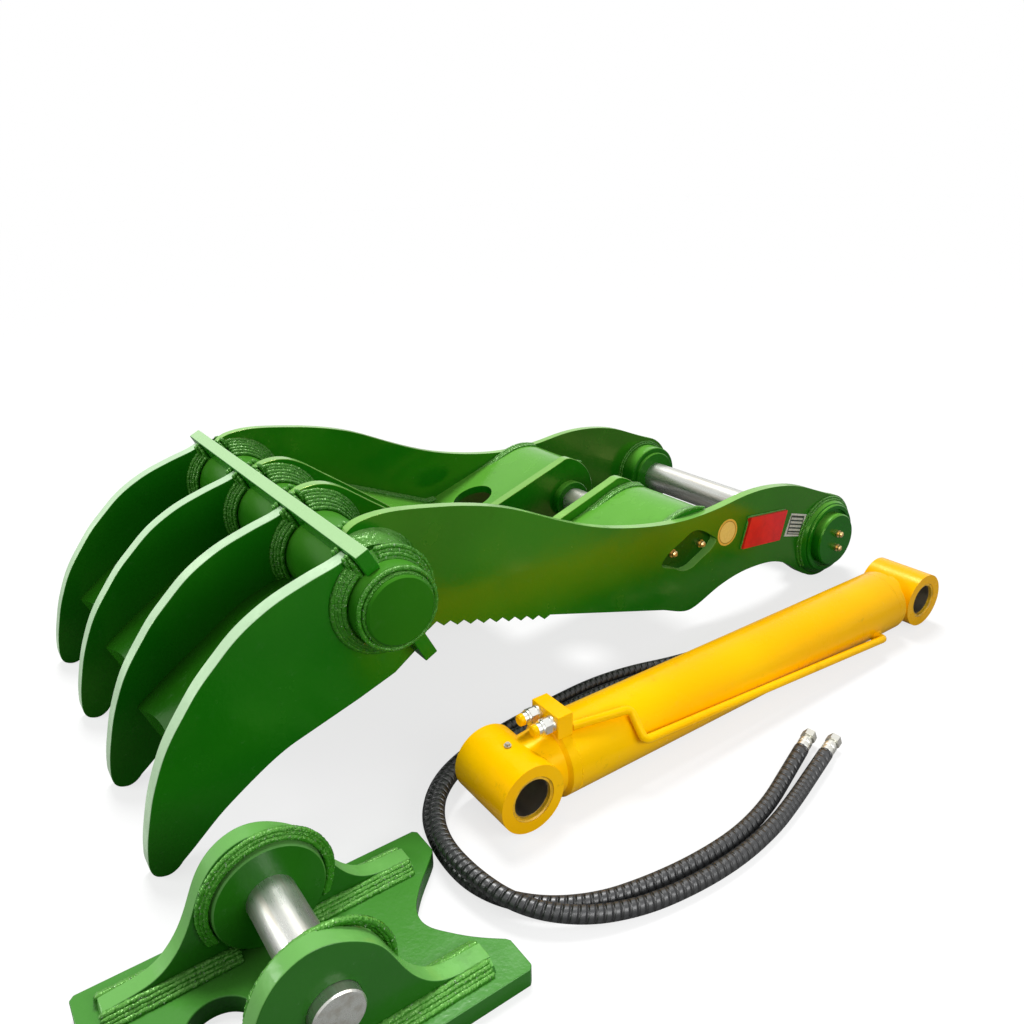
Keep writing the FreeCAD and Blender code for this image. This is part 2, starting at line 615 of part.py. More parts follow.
def fitting(label, at, away):
    """A crimped ferrule and a swivel nut at a hose's end, pointing along away."""
    flat = (away[0], away[1], 0)
    size = math.hypot(away[0], away[1])
    unit = (away[0] / size, away[1] / size)
    length = dim("ferrule_len")
    r = dim("ferrule_r")
    ferrule = turned(label + "_ferrule", [(0.3, 0), (0.3, r - 1), (1.5, r), (9, r), (10, r - 1.2), (16, r - 1.2),
                                          (17, r), (length - 9, r), (length - 8, 8), (length, 8),
                                          (length, 0)], flat, at[0], at[1], at[2])
    nut = primitive("Prism", label + "_nut", {"Polygon": 6, "Circumradius": "nut_af / 1.732",
                                              "Height": "nut_len"},
                    FreeCAD.Rotation(V(0, 0, 1), V(*flat)))
    place(nut, at[0] + unit[0] * (length + 0.3), at[1] + unit[1] * (length + 0.3), at[2])
    return [ferrule, nut]


for name, route in (("outer", OUTER_ROUTE), ("inner", INNER_ROUTE)):
    solid, radii, length = tube_along(route, dim("hose_r"))
    hose = doc.addObject("Part::Feature", "hose_" + name)
    hose.Shape = solid
    node("hose_" + name, hose)
    print("hose", name, "length", round(length), "radii", [round(r) for r in radii])
    ends = []
    for number, (tip, before) in enumerate(((route[0], route[1]), (route[-1], route[-2]))):
        away = (tip[0] - before[0], tip[1] - before[1])
        ends += fitting("fitting_%s_%d" % (name, number), tip, away)
    group("hose_%s_fittings" % name, ends)

# Weld-on bracket.
base_half = 151
base_left = -541
base_right = -59
far_side = [(base_left + 6, base_half), (base_right - 6, base_half), (base_right, base_half - 6),
            (base_right, 100), (base_right - 4, 94)]
notch = [(base_right - 4, 94), (-92, 66), (-120, 36), (-134, 12), (-135, -12), (-121, -36), (-95, -66),
         (base_right - 4, -94)]
near_side = [(base_right - 4, -94), (base_right, -100), (base_right, -base_half + 6),
             (base_right - 6, -base_half), (base_left + 6, -base_half), (base_left, -base_half + 6),
             (base_left, -94)]
left_notch = [(base_left, -94), (-506, -66), (-480, -36), (-467, 0), (-480, 36), (-506, 66),
              (base_left, 94)]


def run_list(points):
    return [[points[i], points[i + 1]] for i in range(len(points) - 1)]


base = new_body("bracket_base")
pad(base, "XY_Plane", outline(run_list(far_side) + [notch] + run_list(near_side) + [left_notch]
                              + [[(base_left, 94), (base_left, base_half - 6)],
                                 [(base_left, base_half - 6), far_side[0]]]), "base_t")
pocket(base, "XY_Plane", [circle(-402, 0, 42)])
place(base, 0, "bracket_y", 0)
node("bracket_base", base)

ear_line = [(-512, 42), (-497, 43), (-475, 45), (-450, 51), (-427, 68), (-411, 89), (-396, 119),
            (-380, 154), (-360, 179), (-340, 191), (-318, 195.5), (-297, 192), (-270, 178), (-243, 154),
            (-224, 119), (-208, 88), (-192, 67), (-169, 50), (-145, 44), (-120, 43), (-101, 42)]
ear_shapes = outline([ear_line, [(-101, 42), (-99, dim("base_t"))], [(-99, dim("base_t")),
                                                                     (-514, dim("base_t"))]])
ear_hole = circle(dim("bracket_x"), dim("bracket_pin_z"), dim("bracket_pin_r") + dim("run_gap"))
for name, sign in SIDES:
    far_face = "bracket_y + ear_outer" if sign > 0 else "bracket_y + ear_t - ear_outer"
    node("bracket_ear_" + name, plate("bracket_ear_" + name, ear_shapes, "ear_t", far_face, [ear_hole]))
ear_inner = dim("ear_outer") - dim("ear_t")
ear_bore = dim("bracket_pin_r") + dim("run_gap")
ear_bosses = [turned("ear_boss_%d" % (sign + 1),
                     [(ear_inner - 15, ear_bore), (ear_inner - 15, 72), (ear_inner - 13, 74),
                      (ear_inner - 6, 74), (ear_inner - 3, 75.5), (ear_inner, 75.5),
                      (ear_inner, ear_bore)], (0, sign, 0), "bracket_x", "bracket_y", "bracket_pin_z")
              for name, sign in SIDES]
group("bracket_bosses", ear_bosses)
pin("bracket_pin", dim("bracket_pin_half"), dim("bracket_pin_r"), "bracket_x", "bracket_y",
    "bracket_pin_z")

beads = []
outer_face = dim("ear_outer")
bead_spans = [(outer_face, 1, -512, 410), (-outer_face, -1, -512, 410)]
for side in (1, -1):
    bead_spans += [(side * ear_inner, -side, -512, 164), (side * ear_inner, -side, -258, 156)]
for number, (face, sign, bead_from, bead_length) in enumerate(bead_spans):
    bead = new_body("bead_%d" % number)
    pad(bead, "YZ_Plane", polygon([(0, 0), (sign * 14, 0), (sign * 9, 8), (0, 13)]), bead_length)
    place(bead, bead_from, "bracket_y + %g" % face, "base_t")
    beads.append(bead)
group("bracket_welds", beads)

# Check every shape and write it.
doc.recompute()
faults = []
for obj in doc.Objects:
    if "Invalid" in obj.State or "Error" in obj.State:
        faults.append((obj.Label, obj.State))
total = 0
for label, obj in nodes.items():
    shape = obj.Shape
    if shape.isNull() or not shape.isValid() or not shape.Solids:
        faults.append((label, "shape"))
        continue
    total += 1
    shape.exportStep("parts/%s.step" % label)
    box = shape.BoundBox
    print("%-22s solids %d  X %.0f..%.0f  Y %.0f..%.0f  Z %.1f..%.1f" % (
        label, len(shape.Solids), box.XMin, box.XMax, box.YMin, box.YMax, box.ZMin, box.ZMax))
print("nodes", total, "faults", faults)
assert not faults
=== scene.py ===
# %% [markdown]
# # A hydraulic thumb kit for an excavator
# The frame holds the solids of every part. This lesson gives them their paint, metal and rubber,
# softens their edges, lays the weld beads over the seams and sets up the view. Lengths are in
# metres.

import json
import math

import bpy
from mathutils import Matrix, Vector

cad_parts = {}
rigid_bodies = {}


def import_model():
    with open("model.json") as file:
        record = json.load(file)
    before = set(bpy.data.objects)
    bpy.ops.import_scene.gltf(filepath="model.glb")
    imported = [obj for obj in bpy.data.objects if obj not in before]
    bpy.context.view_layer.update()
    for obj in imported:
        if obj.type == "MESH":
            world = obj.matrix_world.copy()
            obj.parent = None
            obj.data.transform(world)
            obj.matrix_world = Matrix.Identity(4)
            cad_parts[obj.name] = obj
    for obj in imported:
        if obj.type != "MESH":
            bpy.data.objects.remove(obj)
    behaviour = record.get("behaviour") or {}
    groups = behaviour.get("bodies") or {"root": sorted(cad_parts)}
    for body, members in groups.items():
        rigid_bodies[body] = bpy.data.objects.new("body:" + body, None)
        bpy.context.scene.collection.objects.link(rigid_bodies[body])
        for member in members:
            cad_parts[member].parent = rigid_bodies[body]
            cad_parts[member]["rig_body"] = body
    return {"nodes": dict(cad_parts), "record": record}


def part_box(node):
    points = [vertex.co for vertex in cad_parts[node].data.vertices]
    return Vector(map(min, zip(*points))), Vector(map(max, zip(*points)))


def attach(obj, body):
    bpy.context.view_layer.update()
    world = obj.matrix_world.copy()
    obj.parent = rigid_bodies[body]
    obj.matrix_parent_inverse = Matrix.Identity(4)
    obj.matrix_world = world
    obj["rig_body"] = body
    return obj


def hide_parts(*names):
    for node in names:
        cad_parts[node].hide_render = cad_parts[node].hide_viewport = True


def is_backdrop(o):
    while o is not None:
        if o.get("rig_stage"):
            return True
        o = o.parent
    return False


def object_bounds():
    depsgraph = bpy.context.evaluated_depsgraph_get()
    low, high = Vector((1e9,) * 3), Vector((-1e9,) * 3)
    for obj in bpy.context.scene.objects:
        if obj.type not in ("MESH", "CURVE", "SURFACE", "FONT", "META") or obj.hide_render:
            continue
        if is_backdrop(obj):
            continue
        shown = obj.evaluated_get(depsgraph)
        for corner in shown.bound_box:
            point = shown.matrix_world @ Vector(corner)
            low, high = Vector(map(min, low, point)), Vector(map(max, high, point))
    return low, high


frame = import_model()
bounds_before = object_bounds()
nodes = frame["nodes"]
print("the frame has", len(nodes), "pieces")

# %% [markdown]
# ## Shader maths as plain sums
# A paint's wear is easier to read as a sum of masks than as a web of wires. A small class wraps a
# socket, so that `mask * 0.3 + 0.1` adds its own Math nodes. Every other node comes from one method.


# %% A socket that can be added and multiplied
class Value:
    """An output socket whose sums, differences and products add Math nodes to its finish."""

    def __init__(self, finish, socket):
        self.finish = finish
        self.socket = socket

    def sum_with(self, other, operation, flipped=False):
        pair = (other, self) if flipped else (self, other)
        return self.finish.node("ShaderNodeMath", {"operation": operation}, {0: pair[0], 1: pair[1]})

    def __add__(self, other):
        return self.sum_with(other, "ADD")

    def __radd__(self, other):
        return self.sum_with(other, "ADD", True)

    def __sub__(self, other):
        return self.sum_with(other, "SUBTRACT")

    def __rsub__(self, other):
        return self.sum_with(other, "SUBTRACT", True)

    def __mul__(self, other):
        return self.sum_with(other, "MULTIPLY")

    def __rmul__(self, other):
        return self.sum_with(other, "MULTIPLY", True)


class Finish:
    """One material, built up from a Principled shader and the masks that feed it."""

    def __init__(self, name, **plain):
        self.material = bpy.data.materials.new(name)
        self.material.use_nodes = True
        self.tree = self.material.node_tree
        self.shader = self.tree.nodes["Principled BSDF"]
        for socket, value in plain.items():
            self.shader.inputs[socket.replace("_", " ")].default_value = value
        self.place = self.node("ShaderNodeTexCoord", output="Object")

    def node(self, kind, settings=None, inputs=None, output=0):
        """Add a node with its settings and its sockets' values or links, and return one output."""
        made = self.tree.nodes.new(kind)
        for key, value in (settings or {}).items():
            setattr(made, key, value)
        for key, value in (inputs or {}).items():
            if isinstance(value, Value):
                self.tree.links.new(value.socket, made.inputs[key])
            else:
                made.inputs[key].default_value = value
        return Value(self, made.outputs[output])

    def noise(self, scale, detail=3.0, roughness=0.5, at=None):
        return self.node("ShaderNodeTexNoise", None, {"Vector": at or self.place, "Scale": scale,
                                                      "Detail": detail, "Roughness": roughness})

    def between(self, value, low, high):
        """0 below low, 1 above high, and a soft ramp in between."""
        return self.node("ShaderNodeMapRange", {"interpolation_type": "SMOOTHSTEP"},
                         {"Value": value, "From Min": low, "From Max": high})

    def mix(self, mask, one, two):
        """The first colour where the mask is 0 and the second where it is 1."""
        return self.node("ShaderNodeMix", {"data_type": "RGBA"}, {0: mask, 6: one, 7: two}, output=2)

    def axes(self, at=None):
        """The three numbers of a vector, by default of the place on the object."""
        split = self.node("ShaderNodeSeparateXYZ", None, {0: at or self.place})
        outputs = split.socket.node.outputs
        return [Value(self, outputs[number]) for number in range(3)]

    def feed(self, socket, value):
        self.tree.links.new(value.socket, self.shader.inputs[socket])

    def bump(self, height, distance, strength=1.0):
        self.feed("Normal", self.node("ShaderNodeBump", None, {"Height": height, "Distance": distance,
                                                               "Strength": strength}))


# %% [markdown]
# ## Enamel, welds and metals
# The thumb and bracket are sprayed with glossy green enamel over rough weld beads, the cylinder
# with yellow. Real enamel isn't even: its colour drifts a little from one pass of the spray gun to
# the next, dust dulls it in places, and the film has an orange-peel ripple that breaks reflections.
# Each of these is one noise at its own scale. Upward faces get a lighter tone, a painted highlight for
# the light from above. A plate's cut edges that face up or along X get a pale painted highlight, as if
# they caught the lamps. The gloss itself is tinted, because a white reflection of the sky would grey so
# deep a green.


# %% Enamel
def enamel(name, colour, deep, top=None, rim=None, rough=0.2, peel=0.00025, gloss=0.5, grime=0.12,
           tint=(0.55, 1.0, 0.25, 1.0)):
    """Sprayed paint. top is a lighter painted-highlight tone on upward faces, rim a pale painted
    highlight on a plate's cut edges that face up or along X.

    peel is the height of the ripple in metres, and tint colours the gloss.
    """
    paint = Finish(name, Specular_IOR_Level=gloss, Specular_Tint=tint)
    drift = paint.between(paint.noise(3.5, 2.0), 0.3, 0.7)
    dust = paint.between(paint.noise(55.0, 6.0, 0.65), 0.55, 0.8)
    smear = paint.between(paint.noise(11.0, 4.0, 0.6), 0.45, 0.75)
    body = paint.mix(drift, colour, deep)
    east, north, up = paint.axes(paint.node("ShaderNodeTexCoord", output="Normal"))
    # painted highlight: upward faces take the lighter top tone, for the light from above
    if top:
        body = paint.mix(paint.between(up, 0.25, 0.95), body, top)
    # painted highlight: a plate's cut edges that face up or along X are paled, as if they caught the
    # lamps
    if rim:
        edge = 1.0 - paint.between(north * north, 0.3, 0.7)
        lit_side = paint.between(up * 0.6 + east * east * 0.75, 0.05, 0.5)
        body = paint.mix(edge * lit_side * (0.75 + smear * 0.25), body, rim)
    pale = tuple(0.6 * c + 0.08 for c in colour[:3]) + (1.0,)
    stains = paint.between(paint.noise(26.0, 9.0, 0.7), 0.60, 0.68)
    dark = tuple(0.35 * c for c in colour[:3]) + (1.0,)
    body = paint.mix(stains * grime, body, dark)
    paint.feed("Base Color", paint.mix(dust * 0.12, body, pale))
    paint.feed("Roughness", rough + smear * 0.14 + dust * 0.12)
    paint.bump(paint.noise(140.0, 2.0) + paint.noise(18.0, 1.0) * 1.2, peel)
    return paint.material


# Colours are linear red, green, blue and alpha.
GREEN = (0.014, 0.185, 0.005, 1.0)
GREEN_DEEP = (0.005, 0.145, 0.003, 1.0)
# The third green is a painted highlight: the lighter tone of upward faces.
GREEN_LIT_TOP = (0.13, 0.43, 0.045, 1.0)
thumb_green = enamel("thumb_green", GREEN, GREEN_DEEP, GREEN_LIT_TOP, gloss=0.3)
# The tube and its caps take darker greens as painted shade, for the shade between the fingers and under
# the bar, and their top tone is a painted highlight.
tube_shaded_green = enamel("tube_shaded_green", (0.022, 0.160, 0.005, 1.0), (0.011, 0.110, 0.003, 1.0),
                    (0.065, 0.29, 0.020, 1.0), rough=0.3, gloss=0.15)
# The bar's pale top tone is a painted highlight.
bar_green = enamel("bar_green", GREEN, GREEN_DEEP, (0.43, 0.70, 0.34, 1.0), gloss=0.35)
# The fingers' webs take a darker copy of the green as painted shade between the fingers.
web_shaded_green = enamel("web_shaded_green", (0.013, 0.110, 0.003, 1.0), (0.008, 0.075, 0.002, 1.0), gloss=0.25)
# The recess plates take a darker copy of the green as painted shade in their recess.
recess_shaded_green = enamel("recess_shaded_green", (0.010, 0.085, 0.003, 1.0), (0.005, 0.055, 0.002, 1.0), gloss=0.3)
# The pale rims of the fingers and side plates are painted highlights, and the side plates' gloss is
# tinted yellow, a painted yellow sheen in their reflections.
finger_green = enamel("finger_green", GREEN, GREEN_DEEP, rim=(0.64, 0.88, 0.58, 1.0), gloss=0.4)
plate_green = enamel("plate_green", GREEN, GREEN_DEEP, rim=(0.27, 0.62, 0.13, 1.0), rough=0.16, gloss=0.7,
                     tint=(1.0, 1.0, 0.2, 1.0))
BRACKET_GREEN = (0.019, 0.150, 0.007, 1.0)
BRACKET_DEEP = (0.010, 0.105, 0.004, 1.0)
BRACKET_TINT = (0.9, 1.0, 0.9, 1.0)
# The bracket's and its base's lighter top tones and the ears' pale rims are painted highlights.
bracket_green = enamel("bracket_green", BRACKET_GREEN, BRACKET_DEEP, (0.029, 0.172, 0.011, 1.0),
                       (0.18, 0.47, 0.11, 1.0), gloss=0.28, tint=BRACKET_TINT)
base_green = enamel("base_green", BRACKET_GREEN, BRACKET_DEEP, (0.060, 0.25, 0.030, 1.0), gloss=0.28,
                    tint=BRACKET_TINT)
cylinder_yellow = enamel("cylinder_yellow", (1.0, 0.57, 0.0, 1.0), (1.0, 0.50, 0.0, 1.0), rough=0.22,
                         gloss=0.2, grime=0.22, tint=(1.0, 0.85, 0.15, 1.0))
print("enamels:", thumb_green.name, bracket_green.name, cylinder_yellow.name)

# %% [markdown]
# ## Painted weld beads
# A bead is lumpier than the plate beside it, so its paint is mixed from two greens by a coarse noise.
# Where it faces up it turns paler, a painted highlight, and its small spatter spots are a real bump with
# pale painted glints.


# %% Weld paint
# The crest tone is a painted highlight on a bead's upward faces, and the spatter tone paints glints on
# the spatter spots.
WELD_LIT_CREST = (0.17, 0.44, 0.09, 1.0)
WELD_SPATTER_GLINT = (0.46, 0.70, 0.40, 1.0)


def weld(name, colour, deep):
    """Glossy paint over a bead, with a bump for its lumps and its spatter."""
    paint = Finish(name, Specular_IOR_Level=0.6, Specular_Tint=(0.6, 1.0, 0.4, 1.0))
    lumps = paint.noise(95.0, 2.0, 0.5)
    spatter_and_glint = paint.between(paint.noise(260.0, 2.0), 0.64, 0.70)
    _, _, up = paint.axes(paint.node("ShaderNodeTexCoord", output="Normal"))
    body = paint.mix(lumps, deep, colour)
    # painted highlight on upward faces, then painted glints on the spatter spots
    body = paint.mix(paint.between(up, 0.45, 0.95) * 0.6, body, WELD_LIT_CREST)
    paint.feed("Base Color", paint.mix(spatter_and_glint * 0.6, body, WELD_SPATTER_GLINT))
    paint.feed("Roughness", 0.14 + lumps * 0.18)
    paint.bump(lumps * 2.0 + spatter_and_glint * 0.6 + paint.noise(300.0, 2.0) * 0.25, 0.0022)
    return paint.material


weld_green = weld("weld_green", (0.046, 0.250, 0.014, 1.0), (0.022, 0.160, 0.006, 1.0))
print("weld paint:", weld_green.name)


# %% [markdown]
# ## Bare metals
# The pins are ground steel and the rod is chromed, the fittings are zinc plated and the grease
# nipples brass. All of them are one recipe: a tarnish film over a bare colour, and scratches. On a
# turned or ground part the scratches run one way, so the noise is squeezed along the other axes.


# %% Metal
def metal(name, colour, tint, rough, scratch_scale, along=(1.0, 1.0, 1.0), metallic=1.0):
    """Ground, turned or plated metal. along squeezes the scratches, so that they run one way."""
    bare = Finish(name, Metallic=metallic)
    squeezed = bare.node("ShaderNodeMapping", None, {"Vector": bare.place, "Scale": along})
    scratches = bare.noise(scratch_scale, 5.0, 0.7, squeezed)
    film = bare.between(bare.noise(10.0, 4.0, 0.6, squeezed), 0.42, 0.7)
    bare.feed("Base Color", bare.mix(film * 0.8, colour, tint))
    bare.feed("Roughness", rough + scratches * 0.16 + film * 0.1)
    bare.bump(scratches, 0.00012)
    return bare.material


pin_chrome = metal("pin_chrome", (0.64, 0.65, 0.61, 1.0), (0.45, 0.42, 0.36, 1.0), 0.2, 60.0,
                   (8.0, 0.6, 8.0), 0.85)
rod_chrome = metal("rod_chrome", (0.80, 0.80, 0.80, 1.0), (0.66, 0.65, 0.62, 1.0), 0.07, 60.0,
                   (0.6, 8.0, 8.0))
zinc = metal("zinc", (0.80, 0.80, 0.76, 1.0), (0.58, 0.57, 0.50, 1.0), 0.22, 160.0)
brass = metal("brass", (0.80, 0.58, 0.26, 1.0), (0.50, 0.36, 0.18, 1.0), 0.22, 200.0)
bush_steel = metal("bush_steel", (0.42, 0.39, 0.34, 1.0), (0.22, 0.18, 0.13, 1.0), 0.28, 90.0)
piston_steel = metal("piston_steel", (0.45, 0.45, 0.45, 1.0), (0.35, 0.34, 0.33, 1.0), 0.25, 90.0)
print("metals:", pin_chrome.name, rod_chrome.name, zinc.name, brass.name, bush_steel.name)

# %% [markdown]
# ## Seals, plates and label
# The eyes' lip seals were sprayed over with the cylinder's yellow. The name plate is a raised red
# casting that stays bare. The data plate is dark with pale empty rows inside a bare metal edge, and
# the round label is a gold film with an empty field. Both patterns are distances measured from the
# piece's own middle, so they need no picture.


# %% Seals and the red plate
def plain(name, colour, other, rough, scale, **more):
    """A smooth finish whose colour drifts between two tones."""
    made = Finish(name, **more)
    tone = made.noise(scale, 4.0, 0.6)
    made.feed("Base Color", made.mix(made.between(tone, 0.35, 0.7), colour, other))
    made.feed("Roughness", rough + tone * 0.15)
    made.bump(made.noise(scale * 9.0, 2.0), 0.0001)
    return made.material


red_plate = plain("red_plate", (0.80, 0.012, 0.012, 1.0), (0.62, 0.008, 0.01, 1.0), 0.15, 25.0)
seal_yellow = plain("seal_yellow", (0.85, 0.50, 0.01, 1.0), (0.45, 0.27, 0.02, 1.0), 0.3, 60.0)
print("plain finishes:", red_plate.name, seal_yellow.name)


# %% Round label
LABEL_CENTRE = (0.474, 0.203)
LABEL_RADIUS = 0.031


def label_film(name, centre, radius):
    """A pale disc inside a gold rim, with nothing printed on it."""
    film = Finish(name)
    x, _, z = film.axes()
    east = x - centre[0]
    up = z - centre[1]
    away = east * east + up * up
    rim = film.between(away, (0.78 * radius) ** 2, (0.82 * radius) ** 2)
    line = rim * (1.0 - film.between(away, (0.84 * radius) ** 2, (0.88 * radius) ** 2))
    tone = film.noise(60.0, 4.0, 0.6)
    gold = film.mix(tone, (0.86, 0.56, 0.09, 1.0), (0.74, 0.42, 0.05, 1.0))
    body = film.mix(rim, film.mix(tone, (0.90, 0.68, 0.20, 1.0), (0.82, 0.55, 0.12, 1.0)), gold)
    film.feed("Base Color", film.mix(line, body, (0.34, 0.17, 0.02, 1.0)))
    film.feed("Roughness", 0.2 + tone * 0.15)
    return film.material


label_yellow = label_film("label_yellow", LABEL_CENTRE, LABEL_RADIUS)
print("label", 2 * LABEL_RADIUS, "m wide")


# %% Data plate
DATA_CENTRE = (0.713, 0.160)
DATA_ALONG = (0.963, -0.270)
DATA_HALF_WIDE = 0.0296
DATA_HALF_HIGH = 0.0265
ROWS_PER_METRE = 110.0


def table_plate(name, centre, along, half_wide, half_high):
    """A dark plate with a bare metal edge and pale empty fields in rows.

    along is the direction of the rows in the plane of X and Z, because the plate hangs askew.
    """
    board = Finish(name, Metallic=0.2)
    x, _, z = board.axes()
    east = x - centre[0]
    up = z - centre[1]
    across = board.node("ShaderNodeMath", {"operation": "ABSOLUTE"}, {0: east * along[0] + up * along[1]})
    height = up * along[0] - east * along[1]
    level = board.node("ShaderNodeMath", {"operation": "ABSOLUTE"}, {0: height})
    rows = board.node("ShaderNodeMath", {"operation": "FRACT"}, {0: height * ROWS_PER_METRE + 10.0})
    inside = (1.0 - board.between(across, half_wide - 0.0075, half_wide - 0.0065)) * \
        (1.0 - board.between(level, half_high - 0.0060, half_high - 0.0050))
    field = inside * board.between(rows, 0.38, 0.46)
    edge = 1.0 - (1.0 - board.between(across, half_wide - 0.0040, half_wide - 0.0032)) * \
        (1.0 - board.between(level, half_high - 0.0035, half_high - 0.0027))
    tone = board.noise(70.0, 4.0, 0.6)
    ground = board.mix(tone, (0.025, 0.035, 0.025, 1.0), (0.06, 0.075, 0.06, 1.0))
    body = board.mix(field, ground, (0.60, 0.62, 0.58, 1.0))
    board.feed("Base Color", board.mix(edge, body, (0.70, 0.71, 0.68, 1.0)))
    board.feed("Roughness", 0.2 + tone * 0.15)
    return board.material


data_plate = table_plate("data_plate", DATA_CENTRE, DATA_ALONG, DATA_HALF_WIDE, DATA_HALF_HIGH)
print("data plate", 2 * DATA_HALF_WIDE, "by", 2 * DATA_HALF_HIGH, "m")

# %% [markdown]
# ## Rubber of the hoses
# A strip of hard rubber is wound round each hose and guards it. The strip's groove climbs like a
# screw's thread. On a curve, the UV map's u runs along the hose and v around it, so the fraction of
# a sum of both draws the thread, and a bump sinks the groove without any more faces.


# %% Rubber hose with a spiral guard
GUARD_TURNS = 130.0


def hose_finish():
    """Black rubber with the guard's groove, which is deeper than the strip and coloured darker as painted
    shade.
    """
    rubber = Finish("hose_rubber", Specular_IOR_Level=0.7)
    around = rubber.node("ShaderNodeTexCoord", output="UV")
    u, v, _ = rubber.axes(around)
    turns = rubber.node("ShaderNodeMath", {"operation": "FRACT"}, {0: u * GUARD_TURNS + v})
    groove_and_shade = rubber.between(turns, 0.0, 0.3) * (1.0 - rubber.between(turns, 0.7, 1.0))
    wear = rubber.noise(160.0, 4.0, 0.6)
    # painted shade: the groove is coloured darker than the strip
    rubber.feed("Base Color", rubber.mix(groove_and_shade, (0.006, 0.006, 0.006, 1.0), (0.024, 0.025, 0.026, 1.0)))
    rubber.feed("Roughness", 0.24 + wear * 0.2)
    rubber.bump(groove_and_shade + wear * 0.06, 0.003)
    return rubber.material


hose_rubber = hose_finish()
print("hose rubber with", GUARD_TURNS, "turns of guard")

# %% [markdown]
# ## Paint every piece
# The record gives each piece a slot, the name of the finish that it has on the real object. A few pieces
# take a finish of their own. The tube between the fingers, the fingers' webs and the recess plates get
# darker copies of the green as painted shade. The bracket's base gets its own painted highlight on top.
# The eye's grease nipple takes the darker bush steel as painted shade of its hole.

# %% Give every node the finish of its slot
finishes = {"thumb_green": thumb_green, "bracket_green": bracket_green, "weld_green": weld_green,
            "cylinder_yellow": cylinder_yellow, "pin_chrome": pin_chrome, "rod_chrome": rod_chrome,
            "zinc": zinc, "brass": brass, "bush_steel": bush_steel, "seal_rubber": seal_yellow,
            "hose_rubber": hose_rubber, "red_plate": red_plate, "data_plate": data_plate,
            "label_yellow": label_yellow, "piston_steel": piston_steel}
# The tube, webs and recess plates take darker greens as painted shade, and the eye's grease nipple the
# darker bush steel as painted shade of its hole.
special = {"bracket_base": base_green, "cross_tube": tube_shaded_green, "tube_caps": tube_shaded_green,
           "finger_web_1": web_shaded_green, "finger_web_2": web_shaded_green, "finger_web_3": web_shaded_green,
           "recess_plates": recess_shaded_green, "eye_nipple": bush_steel}
slots = {row["node"]: row["material_slot"] for row in frame["record"]["subparts"]}
for name, piece in nodes.items():
    piece.data.materials.clear()
    piece.data.materials.append(special.get(name, finishes[slots[name]]))
print("painted", len(slots), "pieces")

# %% [markdown]
# ## Edges that catch the light
# Flame-cut plate has a ground edge of about a millimetre and a half, and its thin bright line is
# what shows the outline of a green plate in front of another. The frame's plates are cut sharp, so
# a copy of each is merged, its flat faces are joined and a bevel is run along its sharp edges.


# %% Soften the plates
def alone(obj):
    """Select one object and make it active."""
    bpy.ops.object.select_all(action="DESELECT")
    obj.select_set(True)
    bpy.context.view_layer.objects.active = obj


def softened(node, width):
    """A copy of a node with a narrow bevel on its sharp edges, which stands in the node's place."""
    piece = nodes[node].copy()
    piece.data = nodes[node].data.copy()
    piece.name = node + "_dressed"
    piece.parent = None
    for key in list(piece.keys()):
        del piece[key]
    bpy.context.scene.collection.objects.link(piece)
    alone(piece)
    bpy.ops.object.mode_set(mode="EDIT")
    bpy.ops.mesh.select_all(action="SELECT")
    bpy.ops.mesh.remove_doubles(threshold=0.00002)
    bpy.ops.mesh.dissolve_limited(angle_limit=math.radians(0.5))
    bpy.ops.object.mode_set(mode="OBJECT")
    bpy.ops.object.shade_smooth_by_angle(angle=math.radians(32))
    bevel = piece.modifiers.new("edge", "BEVEL")
    bevel.width = width
    bevel.segments = 2
    bevel.limit_method = "ANGLE"
    bevel.angle_limit = math.radians(35)
    bpy.ops.object.modifier_apply(modifier="edge")
    piece.modifiers.new("even", "WEIGHTED_NORMAL").keep_sharp = True
    bpy.ops.object.modifier_apply(modifier="even")
    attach(piece, nodes[node]["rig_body"])
    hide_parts(node)
    return piece


EDGE_WIDTH = 0.0015
PLATES = ("finger_1", "finger_2", "finger_3", "finger_4", "side_plate_near", "side_plate_far",
          "inner_plate_near", "inner_plate_far", "cross_plate_upper", "cross_plate_lower",
          "bracket_base", "bracket_ear_near", "bracket_ear_far", "port_block")
for plate in PLATES:
    made = softened(plate, EDGE_WIDTH)
    if slots[plate] == "thumb_green":
        paints = {"finger": finger_green, "cross_": bar_green}
        made.data.materials[0] = paints.get(plate[:6], plate_green)
    print(plate, len(made.data.polygons), "faces")

# %% [markdown]
# ## The hoses
# Two half-inch hoses in a spiral guard leave the unions' side of the base eye, turn round it on the
# floor and come forward together. A hose is a curve with a round section, which keeps it smooth at
# any length and gives it a UV map. Its points are the route's corners, and a NURBS curve of the
# third order rounds them off without a kink. Where the hoses cross, the inner one lies on top.

# %% Routes of the hoses
# A route's corners are in millimetres from the cross tube, and ORIGIN is the frame's origin there.
ORIGIN = Vector((0.389, -0.2035, 0.0))
HOSE_RADIUS = 0.0125
